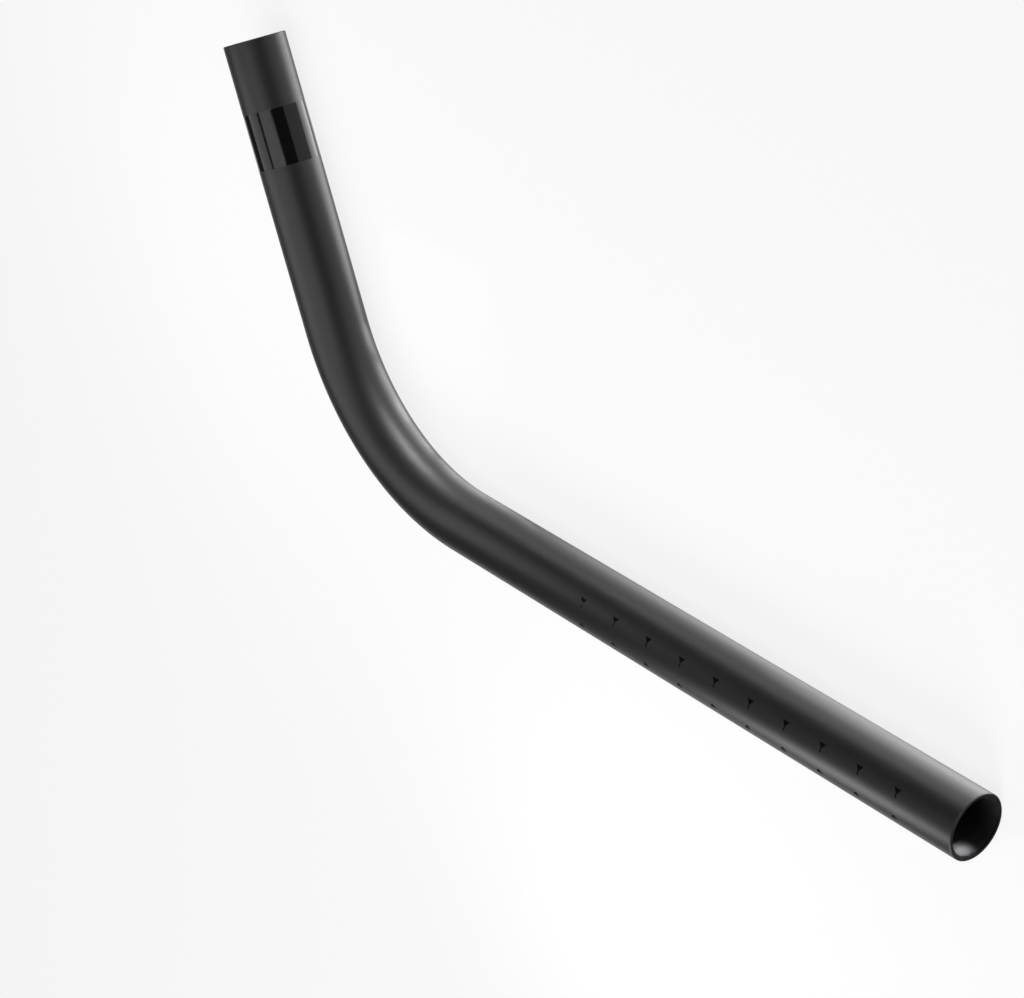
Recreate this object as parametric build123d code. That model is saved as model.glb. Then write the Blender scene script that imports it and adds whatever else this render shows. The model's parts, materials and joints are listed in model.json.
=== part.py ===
from build123d import *
import os

# Aero handlebar extension: one round tube with a single bend, open at both ends.
# Millimetres. The origin is the centre of the rear mouth. +X runs along the clamp run
# towards the bend, the bend turns towards -Y, and +Z is square to the plane of the bend.

# Section of the tube
tube_diameter = 22.2  # the common clamping size of aero extensions
wall_thickness = 1.6

# Centre line
clamp_run_length = 235.0  # the straight run that slides in its clamp
bend_radius = 80.0
bend_angle = 65.0  # degrees
grip_run_length = 104.0  # the straight run that the hand holds

# Edges of the two mouths
outer_edge_break = 0.25  # the sawn corner, lightly broken
inner_lip_chamfer = 0.45  # the deburred lip that guides a plug into the bore


def bent_centre_line():
    clamp_line = Line((0, 0), (clamp_run_length, 0))
    bend_arc = JernArc(clamp_line @ 1, clamp_line % 1, bend_radius, -bend_angle)
    grip_line = Line(bend_arc @ 1, bend_arc @ 1 + grip_run_length * (bend_arc % 1))
    return clamp_line + bend_arc + grip_line


def ring_section():
    tube_radius = tube_diameter / 2
    bore_radius = tube_radius - wall_thickness
    return Circle(tube_radius) - Circle(bore_radius)


def mouth_faces(tube):
    return tube.faces().filter_by(GeomType.PLANE)


# The tube: the ring section swept along the centre line
centre_line = bent_centre_line()
rear_mouth = Plane(centre_line @ 0, z_dir=centre_line % 0)
extension_tube = sweep(rear_mouth * ring_section(), path=centre_line)

# Both mouths: the outer corner is broken, and the lip of the bore is chamfered
outer_corners = [face.outer_wire().edge() for face in mouth_faces(extension_tube)]
extension_tube = chamfer(outer_corners, outer_edge_break)
bore_lips = [face.inner_wires()[0].edge() for face in mouth_faces(extension_tube)]
extension_tube = chamfer(bore_lips, inner_lip_chamfer)

os.makedirs("parts", exist_ok=True)
export_step(extension_tube, "parts/extension_tube.step")
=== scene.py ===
import json
import math
import bpy
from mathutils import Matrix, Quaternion, Vector


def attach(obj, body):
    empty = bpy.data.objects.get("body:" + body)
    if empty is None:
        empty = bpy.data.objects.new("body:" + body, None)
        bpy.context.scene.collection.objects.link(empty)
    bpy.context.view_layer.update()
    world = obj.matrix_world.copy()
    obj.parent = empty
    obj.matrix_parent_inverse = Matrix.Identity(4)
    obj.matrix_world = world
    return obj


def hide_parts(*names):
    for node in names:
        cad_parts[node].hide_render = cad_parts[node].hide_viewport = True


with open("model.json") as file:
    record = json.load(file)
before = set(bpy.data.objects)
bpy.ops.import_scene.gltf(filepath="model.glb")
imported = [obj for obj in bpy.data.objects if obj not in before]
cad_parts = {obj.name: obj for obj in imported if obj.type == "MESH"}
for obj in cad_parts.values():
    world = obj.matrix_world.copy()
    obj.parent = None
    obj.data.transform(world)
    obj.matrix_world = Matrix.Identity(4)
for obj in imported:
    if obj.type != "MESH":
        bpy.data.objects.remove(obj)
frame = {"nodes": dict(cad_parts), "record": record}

# Aero handlebar extension: a bent black tube with a gloss band and printed depth marks.
# Sizes are in millimetres, as in the CAD. Meshes are written in metres.

mm = 0.001
up = Vector((0, 0, 1))
white = "#ffffff"
sharpAngle = 25    # degrees: meshes are shaded smooth across flatter edges than this
scene = bpy.context.scene
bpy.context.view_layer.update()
mounts = {mount["name"]: mount for mount in frame["record"]["mounts"]}
print("frame loaded:", sorted(frame["nodes"]))


# Small helpers

def hexToLinear(code):
    channels = [int(code[i:i + 2], 16) / 255 for i in (1, 3, 5)]
    return [c / 12.92 if c <= 0.04045 else ((c + 0.055) / 1.055) ** 2.4 for c in channels] + [1.0]


def addNode(tree, kind, inputs=None, **settings):
    # settings are the node's own properties; an input is a value, or the socket that feeds it
    node = tree.nodes.new(kind)
    for name, value in settings.items():
        setattr(node, name, value)
    for name, value in (inputs or {}).items():
        if isinstance(value, bpy.types.NodeSocket):
            tree.links.new(value, node.inputs[name])
        else:
            node.inputs[name].default_value = value
    return node


def newMaterial(name):
    material = bpy.data.materials.new(name)
    material.use_nodes = True
    material.node_tree.nodes.clear()
    return material, material.node_tree


def newPiece(name, points, faces, materials, faceMaterials, corners):
    # corners are the unrolled places of the faces' corners, in millimetres
    mesh = bpy.data.meshes.new(name)
    mesh.from_pydata(points, [], faces)
    for material in materials:
        mesh.materials.append(material)
    mesh.polygons.foreach_set("material_index", faceMaterials)
    unrolled = mesh.uv_layers.new(name="unrolled")
    unrolled.uv.foreach_set("vector", [value for corner in corners for value in corner])
    mesh.shade_smooth()
    mesh.set_sharp_from_angle(angle=math.radians(sharpAngle))
    piece = bpy.data.objects.new(name, mesh)
    scene.collection.objects.link(piece)
    return piece


# Centre line of the tube, as in the CAD

tube = {
    "clampRun": 235.0,    # straight run from the rear mouth to the bend
    "bendRadius": 80.0,
    "bendAngle": 65.0,    # degrees, towards -Y
    "gripRun": 104.0,     # straight run from the bend to the grip mouth
    "edgeBreak": 0.25,    # outer corner of each mouth
    "lipChamfer": 0.45,   # inner lip of each mouth
    "around": 160,        # faces round the tube
    "bendSteps": 64,      # rings along the bend
    "runStep": 8.0,       # ring spacing on the straight runs
}
tubeRadius = mounts["clamp_section"]["dims"]["r_mm"]
boreRadius = mounts["rear_bore"]["dims"]["r_mm"]
bendTurn = math.radians(tube["bendAngle"])
bendEnd = tube["clampRun"] + tube["bendRadius"] * bendTurn
tubeLength = bendEnd + tube["gripRun"]


def centreLine(along):
    # point, direction ahead and outer side of the bend, at a distance from the rear mouth
    turn = min(max((along - tube["clampRun"]) / tube["bendRadius"], 0.0), bendTurn)
    ahead = Vector((math.cos(turn), -math.sin(turn), 0.0))
    outer = Vector((math.sin(turn), math.cos(turn), 0.0))
    bendCentre = Vector((tube["clampRun"], -tube["bendRadius"], 0.0))
    straight = along - tube["clampRun"] - turn * tube["bendRadius"]
    return bendCentre + outer * tube["bendRadius"] + ahead * straight, ahead, outer


def onTube(along, angle, radius):
    # angle in degrees round the tube, from the outer side of the bend up towards +Z
    centre, ahead, outer = centreLine(along)
    turn = math.radians(angle)
    return (centre + (outer * math.cos(turn) + up * math.sin(turn)) * radius) * mm


def spread(start, end, step):
    # evenly spaced distances from start to end, both included
    count = max(1, math.ceil(abs(end - start) / step))
    return [start + (end - start) * i / count for i in range(count + 1)]


def sleeve(name, rings, materials):
    # closed skin through a loop of rings
    # each ring has a distance along the tube, a radius and the material of the stretch after it
    around = tube["around"]
    points, faces, faceMaterials, corners = [], [], [], []
    travelled = 0.0
    for r, (along, radius, material) in enumerate(rings):
        points += [onTube(along, 360 * i / around, radius) for i in range(around)]
        nextAlong, nextRadius = rings[(r + 1) % len(rings)][:2]
        reached = travelled + math.hypot(nextAlong - along, nextRadius - radius)
        first, second = r * around, (r + 1) % len(rings) * around
        for i in range(around):
            j = (i + 1) % around
            near, far = (2 * math.pi * tubeRadius * k / around for k in (i, i + 1))
            faces.append((first + i, first + j, second + j, second + i))
            faceMaterials.append(material)
            corners += [(travelled, near), (travelled, far), (reached, far), (reached, near)]
        travelled = reached
    return newPiece(name, points, faces, materials, faceMaterials, corners)


# Materials

anodised = {
    "colour": "#131314",       # dyed oxide in plain light
    "cloudColour": "#171718",  # where the dye took a little less
    "ior": 1.5,
    "cloud": 30.0,             # size of the uneven patches
    "grain": 0.7,              # blasted pits are about 0.1 wide: drawn coarser to show
    "grainDepth": 0.012,
    "roughness": (0.41, 0.47),
}


def blackAnodisedSkin():
    # bead-blasted aluminium, black anodised: an even matt black with soft, wide highlights
    material, tree = newMaterial("matt black anodised aluminium")
    place = addNode(tree, "ShaderNodeTexCoord").outputs["Object"]
    clouds = addNode(tree, "ShaderNodeTexNoise", {
        "Vector": place, "Scale": 1 / (anodised["cloud"] * mm), "Detail": 2.0})
    grain = addNode(tree, "ShaderNodeTexNoise", {
        "Vector": place, "Scale": 1 / (anodised["grain"] * mm), "Detail": 3.0, "Roughness": 0.6})
    colour = addNode(tree, "ShaderNodeMix", {
        "Factor": clouds.outputs["Fac"], "A": hexToLinear(anodised["colour"]),
        "B": hexToLinear(anodised["cloudColour"])}, data_type="RGBA")
    rough = addNode(tree, "ShaderNodeMapRange", {
        "Value": grain.outputs["Fac"], "From Min": 0.25, "From Max": 0.75,
        "To Min": anodised["roughness"][0], "To Max": anodised["roughness"][1]})
    bump = addNode(tree, "ShaderNodeBump", {
        "Height": grain.outputs["Fac"], "Strength": 0.5, "Distance": anodised["grainDepth"] * mm})
    shader = addNode(tree, "ShaderNodeBsdfPrincipled", {
        "Base Color": colour.outputs["Result"], "Roughness": rough.outputs["Result"],
        "IOR": anodised["ior"], "Normal": bump.outputs["Normal"]})
    addNode(tree, "ShaderNodeOutputMaterial", {"Surface": shader.outputs["BSDF"]})
    return material


drawn = {
    "colour": "#1c1c1d",
    "lineColour": "#262627",
    "lineSpacing": 0.5,       # die lines are finer: drawn coarser to show
    "lineLength": 60.0,
    "lineDepth": 0.01,
    "roughness": 0.38,
}


def blackDrawnBore():
    # drawn aluminium bore, anodised with the skin: black, with long faint lines from the die
    material, tree = newMaterial("black anodised drawn bore")
    unrolled = addNode(tree, "ShaderNodeTexCoord").outputs["UV"]
    stretched = addNode(tree, "ShaderNodeMapping", {
        "Vector": unrolled, "Scale": (1 / drawn["lineLength"], 1 / drawn["lineSpacing"], 1.0)})
    lines = addNode(tree, "ShaderNodeTexNoise", {
        "Vector": stretched.outputs["Vector"], "Scale": 1.0, "Detail": 2.0})
    colour = addNode(tree, "ShaderNodeMix", {
        "Factor": lines.outputs["Fac"], "A": hexToLinear(drawn["colour"]),
        "B": hexToLinear(drawn["lineColour"])}, data_type="RGBA")
    bump = addNode(tree, "ShaderNodeBump", {
        "Height": lines.outputs["Fac"], "Strength": 0.5, "Distance": drawn["lineDepth"] * mm})
    shader = addNode(tree, "ShaderNodeBsdfPrincipled", {
        "Base Color": colour.outputs["Result"], "Roughness": drawn["roughness"],
        "Normal": bump.outputs["Normal"]})
    addNode(tree, "ShaderNodeOutputMaterial", {"Surface": shader.outputs["BSDF"]})
    return material


sawn = {
    "colour": "#080809",
    "scratchColour": "#0e0e0f",
    "scratch": 0.4,           # saw marks are finer: drawn coarser to show
    "scratchStretch": 10.0,   # how much longer than wide a mark is
    "scratchDepth": 0.01,
    "roughness": 0.5,
    "specular": 0.06,
}


def blackSawnEdge():
    # sawn mouth, blackened with the tube: dull black with fine marks from the saw
    material, tree = newMaterial("black anodised sawn edge")
    place = addNode(tree, "ShaderNodeTexCoord").outputs["Object"]
    fine = 1 / (sawn["scratch"] * mm)
    # the marks run from top to bottom of the mouth
    across = addNode(tree, "ShaderNodeMapping", {
        "Vector": place, "Scale": (fine, fine, fine / sawn["scratchStretch"])})
    scratches = addNode(tree, "ShaderNodeTexNoise", {
        "Vector": across.outputs["Vector"], "Scale": 1.0, "Detail": 2.0})
    colour = addNode(tree, "ShaderNodeMix", {
        "Factor": scratches.outputs["Fac"], "A": hexToLinear(sawn["colour"]),
        "B": hexToLinear(sawn["scratchColour"])}, data_type="RGBA")
    bump = addNode(tree, "ShaderNodeBump", {
        "Height": scratches.outputs["Fac"], "Strength": 0.5, "Distance": sawn["scratchDepth"] * mm})
    shader = addNode(tree, "ShaderNodeBsdfPrincipled", {
        "Base Color": colour.outputs["Result"], "Roughness": sawn["roughness"],
        "Specular IOR Level": sawn["specular"], "Normal": bump.outputs["Normal"]})
    addNode(tree, "ShaderNodeOutputMaterial", {"Surface": shader.outputs["BSDF"]})
    return material


printed = {
    "colour": "#060607",
    "patchColour": "#0a0a0b",
    "peel": 2.5,              # waves of the lacquer, as on orange peel
    "peelDepth": 0.004,
    "roughness": (0.09, 0.14),
    "ior": 1.38,
}


def glossBlackPrint():
    # screen-printed gloss black lacquer: deeper black than the tube, with sharp reflections
    material, tree = newMaterial("gloss black printed lacquer")
    place = addNode(tree, "ShaderNodeTexCoord").outputs["Object"]
    peel = addNode(tree, "ShaderNodeTexNoise", {
        "Vector": place, "Scale": 1 / (printed["peel"] * mm), "Detail": 1.0})
    colour = addNode(tree, "ShaderNodeMix", {
        "Factor": peel.outputs["Fac"], "A": hexToLinear(printed["colour"]),
        "B": hexToLinear(printed["patchColour"])}, data_type="RGBA")
    rough = addNode(tree, "ShaderNodeMapRange", {
        "Value": peel.outputs["Fac"], "From Min": 0.25, "From Max": 0.75,
        "To Min": printed["roughness"][0], "To Max": printed["roughness"][1]})
    bump = addNode(tree, "ShaderNodeBump", {
        "Height": peel.outputs["Fac"], "Strength": 0.5, "Distance": printed["peelDepth"] * mm})
    shader = addNode(tree, "ShaderNodeBsdfPrincipled", {
        "Base Color": colour.outputs["Result"], "Roughness": rough.outputs["Result"],
        "IOR": printed["ior"], "Normal": bump.outputs["Normal"]})
    addNode(tree, "ShaderNodeOutputMaterial", {"Surface": shader.outputs["BSDF"]})
    return material


skinFinish = blackAnodisedSkin()
boreFinish = blackDrawnBore()
edgeFinish = blackSawnEdge()
printFinish = glossBlackPrint()
print("materials made:", [m.name for m in (skinFinish, boreFinish, edgeFinish, printFinish)])


# The tube: skin, broken outer corners, mouth faces, lip chamfers and bore as one closed mesh

def tubeRings():
    skin, bore, sawnEdge = 0, 1, 2
    edge, lip = tube["edgeBreak"], tube["lipChamfer"]
    bendStep = (bendEnd - tube["clampRun"]) / tube["bendSteps"]

    def stations(inset):
        rear = spread(inset, tube["clampRun"], tube["runStep"])
        bend = spread(tube["clampRun"], bendEnd, bendStep)
        grip = spread(bendEnd, tubeLength - inset, tube["runStep"])
        return rear + bend[1:-1] + grip

    rings = [(along, tubeRadius, skin) for along in stations(edge)]
    rings += [(tubeLength, tubeRadius - edge, sawnEdge),
              (tubeLength, boreRadius + lip, sawnEdge)]
    rings += [(along, boreRadius, bore) for along in reversed(stations(lip)[1:])]
    rings += [(lip, boreRadius, sawnEdge),
              (0.0, boreRadius + lip, sawnEdge),
              (0.0, tubeRadius - edge, skin)]
    return rings


tubePiece = sleeve("bent_tube", tubeRings(), [skinFinish, boreFinish, edgeFinish])
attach(tubePiece, "root")
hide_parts("extension_tube")
print("tube made:", len(tubePiece.data.polygons), "faces")


# The gloss band round the grip run

band = {
    "fromMouth": 24.5,    # near edge, from the grip mouth
    "width": 20.0,
    "film": 0.04,         # lacquer standing proud of the skin
    "sunk": 0.02,         # underside, just inside the skin
}


def bandRings():
    far = tubeLength - band["fromMouth"] - band["width"]
    near = tubeLength - band["fromMouth"]
    top, under = tubeRadius + band["film"], tubeRadius - band["sunk"]
    soft = band["film"]    # rounded edge of the lacquer
    rings = [(far, tubeRadius, 0), (far + soft, top, 0)]
    rings += [(near - soft, top, 0), (near, tubeRadius, 0)]
    rings += [(near, under, 0), (far, under, 0)]
    return rings


bandPiece = sleeve("gloss_band", bandRings(), [printFinish])
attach(bandPiece, "root")
print("gloss band made:", len(bandPiece.data.polygons), "faces")


# Depth marks on the clamp run: each is a pair of arrowheads, point to point, one with a short stem

marks = {
    "count": 10,
    "first": 22.8,        # from the rear mouth
    "step": 15.65,
    "middle": 93.6,       # degrees round the tube
    "reach": 5.4,         # from the middle to the base of an arrowhead, round the tube
    "headLength": 1.6,
    "headWidth": 2.8,
    "headStep": 0.4,      # spacing of the rows that follow the round of the tube
    "stemLength": 1.5,
    "stemWidth": 0.45,
    "stemStep": 0.5,
    "film": 0.03,
    "sunk": 0.02,
}


def markRows(turn):
    # distance from the middle of a pair and half width of the print,
    # from the base of the head to its point and on along the stem
    point = marks["reach"] - marks["headLength"]
    base, tip = marks["headWidth"] / 2, marks["stemWidth"] / 2
    rows = [(arc, base + (tip - base) * (marks["reach"] - arc) / marks["headLength"])
            for arc in spread(marks["reach"], point, marks["headStep"])]
    if turn > 0:    # the other head of a pair has no stem
        stemEnd = point - marks["stemLength"]
        rows += [(arc, tip) for arc in spread(point, stemEnd, marks["stemStep"])[1:]]
    return rows


def depthMarks():
    points, faces, corners = [], [], []
    layers = (tubeRadius + marks["film"], tubeRadius - marks["sunk"])
    for m in range(2 * marks["count"]):
        middle = marks["first"] + m // 2 * marks["step"]
        turn = 1 if m % 2 else -1
        rows = markRows(turn)
        start = len(points)
        flat = []
        for arc, half in rows:
            angle = marks["middle"] + turn * math.degrees(arc / tubeRadius)
            for radius in layers:
                for side in (-turn, turn):
                    points.append(onTube(middle + side * half, angle, radius))
                    flat.append((middle + side * half, turn * arc))
        last = start + 4 * (len(rows) - 1)
        shell = [(start, start + 2, start + 3, start + 1), (last, last + 1, last + 3, last + 2)]
        for near in range(start, last, 4):
            far = near + 4
            for one, two in ((0, 1), (1, 3), (3, 2), (2, 0)):    # top, side, underside, side
                shell.append((near + one, near + two, far + two, far + one))
        faces += shell
        corners += [flat[p - start] for face in shell for p in face]
    return newPiece("depth_marks", points, faces, [printFinish], [0] * len(faces), corners)


marksPiece = depthMarks()
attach(marksPiece, "root")
print("depth marks made:", marks["count"])


# Floor, lamps, world and camera

studio = {
    "floorColour": "#f4f4f4",
    "floorFibre": 2.0,         # paper fibres are finer: drawn coarser to show
    "floorSize": 60000.0,
    "floorShadow": 0.16,       # share of the floor's look that takes light and shadow
    "stripHeight": 0.3,        # strips above the floor
    "world": 0.08,
}


def paperFloor():
    # white studio paper: seen as plain white, and still darkened by the tube's shadow
    material, tree = newMaterial("white studio paper")
    path = addNode(tree, "ShaderNodeLightPath").outputs
    place = addNode(tree, "ShaderNodeTexCoord").outputs["Object"]
    fibres = addNode(tree, "ShaderNodeTexNoise", {
        "Vector": place, "Scale": 1 / (studio["floorFibre"] * mm)})
    colour = addNode(tree, "ShaderNodeMix", {
        "Factor": fibres.outputs["Fac"], "A": hexToLinear(studio["floorColour"]),
        "B": hexToLinear(white)}, data_type="RGBA")
    paper = addNode(tree, "ShaderNodeBsdfDiffuse", {"Color": colour.outputs["Result"]})
    plain = addNode(tree, "ShaderNodeEmission", {"Color": hexToLinear(white), "Strength": 1.0})
    shown = addNode(tree, "ShaderNodeMixShader", {"Fac": studio["floorShadow"]})
    tree.links.new(plain.outputs["Emission"], shown.inputs[1])
    tree.links.new(paper.outputs["BSDF"], shown.inputs[2])
    cameraOrGlossy = addNode(tree, "ShaderNodeMath", operation="MAXIMUM")
    tree.links.new(path["Is Camera Ray"], cameraOrGlossy.inputs[0])
    tree.links.new(path["Is Glossy Ray"], cameraOrGlossy.inputs[1])
    seen = addNode(tree, "ShaderNodeMath", operation="MAXIMUM")
    tree.links.new(cameraOrGlossy.outputs[0], seen.inputs[0])
    tree.links.new(path["Is Transmission Ray"], seen.inputs[1])
    surface = addNode(tree, "ShaderNodeMixShader", {"Fac": seen.outputs[0]})
    tree.links.new(paper.outputs["BSDF"], surface.inputs[1])
    tree.links.new(shown.outputs["Shader"], surface.inputs[2])
    addNode(tree, "ShaderNodeOutputMaterial", {"Surface": surface.outputs["Shader"]})
    return material


def layFloor():
    half = studio["floorSize"] / 2 * mm
    under = -tubeRadius * mm
    mesh = bpy.data.meshes.new("studio_floor")
    corners = [(-half, -half), (half, -half), (half, half), (-half, half)]
    points = [(x, y, under) for x, y in corners]
    mesh.from_pydata(points, [], [(0, 1, 2, 3)])
    mesh.materials.append(paperFloor())
    floor = bpy.data.objects.new("studio_floor", mesh)
    scene.collection.objects.link(floor)


# each lamp is a soft box: place, aim and size in millimetres, brightness against white,
# and the cone of its light in degrees where that is kept narrow
lamps = {
    "overGrip": {"place": (390, -42, 145), "aim": (323, -98, 0), "size": (175, 124), "level": 1.8},
    "overhead": {"place": (6, -145, 868), "aim": (320, -90, 0), "size": (373, 795), "level": 2.25},
    "lowSide": {"place": (215, -950, 64), "aim": (200, 0, 0), "size": (690, 92),
                "level": 3.0, "cone": 90},
    "lowFront": {"place": (724, -665, 62), "aim": (117, 0, 0), "size": (520, 74),
                 "level": 1.7, "cone": 90},
    "lowBend": {"place": (266, -92, -4.6), "aim": (263, -16, 2), "size": (56, 12),
                "level": 2.9, "cone": 56},
    "rearSide": {"place": (166, 140, 144), "aim": (50, 0, 0), "size": (61, 118), "level": 8.0},
    "key": {"place": (-330, 880, 550), "aim": (200, -50, 0), "size": (700, 700), "level": 6.0},
    "mouth": {"place": (-59, -138, 6), "aim": (3.3, 9, 3.9), "size": (4, 9),
              "level": 24.0, "cone": 2.1},
}
# strips lie on the floor along the inside of the tube and light its lower edge:
# middle of the strip along the tube, distance from the tube's axis, length and width
strips = {
    "floorRear": {"along": -60, "inside": 27, "size": (330, 32), "level": 1.5},
    "floorLong": {"along": 5, "inside": 23, "size": (440, 24), "level": 0.8},
    "floorNear": {"along": 66, "inside": 14, "size": (300, 10), "level": 1.05, "cone": 110},
    "floorGrip": {"along": 400, "inside": 12.4, "size": (170, 8), "level": 1.1, "cone": 100},
}
# a row of short strips follows the bend: values at its start and at its end
bendRow = {
    "along": (226, 304),
    "step": 16,
    "inside": (16.0, 12.7),
    "length": 36,
    "width": (12, 9),
    "level": (1.05, 0.75),
    "cone": 110,
}


def bendStrips():
    start, end = bendRow["along"]
    for along in spread(start, end, bendRow["step"]):
        share = (along - start) / (end - start)
        inside, width, level = (first + (last - first) * share for first, last in
                                (bendRow["inside"], bendRow["width"], bendRow["level"]))
        strips["floorBend%d" % along] = {
            "along": along, "inside": inside, "size": (bendRow["length"], width),
            "level": level, "cone": bendRow["cone"]}


def pointAt(thing, place, aim, roll):
    sight = Vector(aim) - Vector(place)
    turn = Quaternion((0, 0, 1), math.radians(roll))
    thing.location = Vector(place) * mm
    thing.rotation_euler = (sight.to_track_quat("-Z", "Y") @ turn).to_euler()


def newLamp(name, lamp, shape, place, aim, roll):
    # the power follows the size, so the level sets how bright a lamp looks; a cone adds to that
    light = bpy.data.lights.new(name, "AREA")
    light.shape = shape
    light.size, light.size_y = (side * mm for side in lamp["size"])
    light.energy = lamp["level"] * math.pi * light.size * light.size_y
    light.spread = math.radians(lamp.get("cone", 180))
    holder = bpy.data.objects.new(name, light)
    holder.visible_camera = False
    pointAt(holder, place, aim, roll)
    scene.collection.objects.link(holder)


def hangLamps():
    bendStrips()
    for name, lamp in lamps.items():
        newLamp(name, lamp, "RECTANGLE", lamp["place"], lamp["aim"], 0)
    for name, strip in strips.items():
        centre, ahead, outer = centreLine(strip["along"])
        place = centre - outer * strip["inside"] + up * (studio["stripHeight"] - tubeRadius)
        turn = math.degrees(math.atan2(outer.x, outer.y))
        newLamp(name, strip, "ELLIPSE", place, place + up, turn)    # an ellipse fades at its ends


def paleWorld():
    world = bpy.data.worlds.new("pale studio")
    world.use_nodes = True
    background = world.node_tree.nodes["Background"]
    background.inputs["Color"].default_value = hexToLinear(white)
    background.inputs["Strength"].default_value = studio["world"]
    scene.world = world


viewpoint = {
    "place": (-488.55, -524.60, 584.15),
    "aim": (211.66, -18.76, 0.0),
    "roll": -111.83,      # degrees: the tube lies on its side, so the camera is turned to match
    "lens": 109.79,
    "pictureWidth": 36.0,
    "sees": (10, 90000),  # nearest and farthest distance
}


def placeCamera():
    camera = bpy.data.objects.new("camera", bpy.data.cameras.new("camera"))
    camera.data.sensor_width = viewpoint["pictureWidth"]
    camera.data.lens = viewpoint["lens"]
    camera.data.clip_start, camera.data.clip_end = (distance * mm for distance in viewpoint["sees"])
    pointAt(camera, viewpoint["place"], viewpoint["aim"], viewpoint["roll"])
    scene.collection.objects.link(camera)
    scene.camera = camera


layFloor()
hangLamps()
paleWorld()
placeCamera()
scene.view_settings.view_transform = "Standard"
print("studio set:", len(lamps), "lamps,", len(strips), "strips")
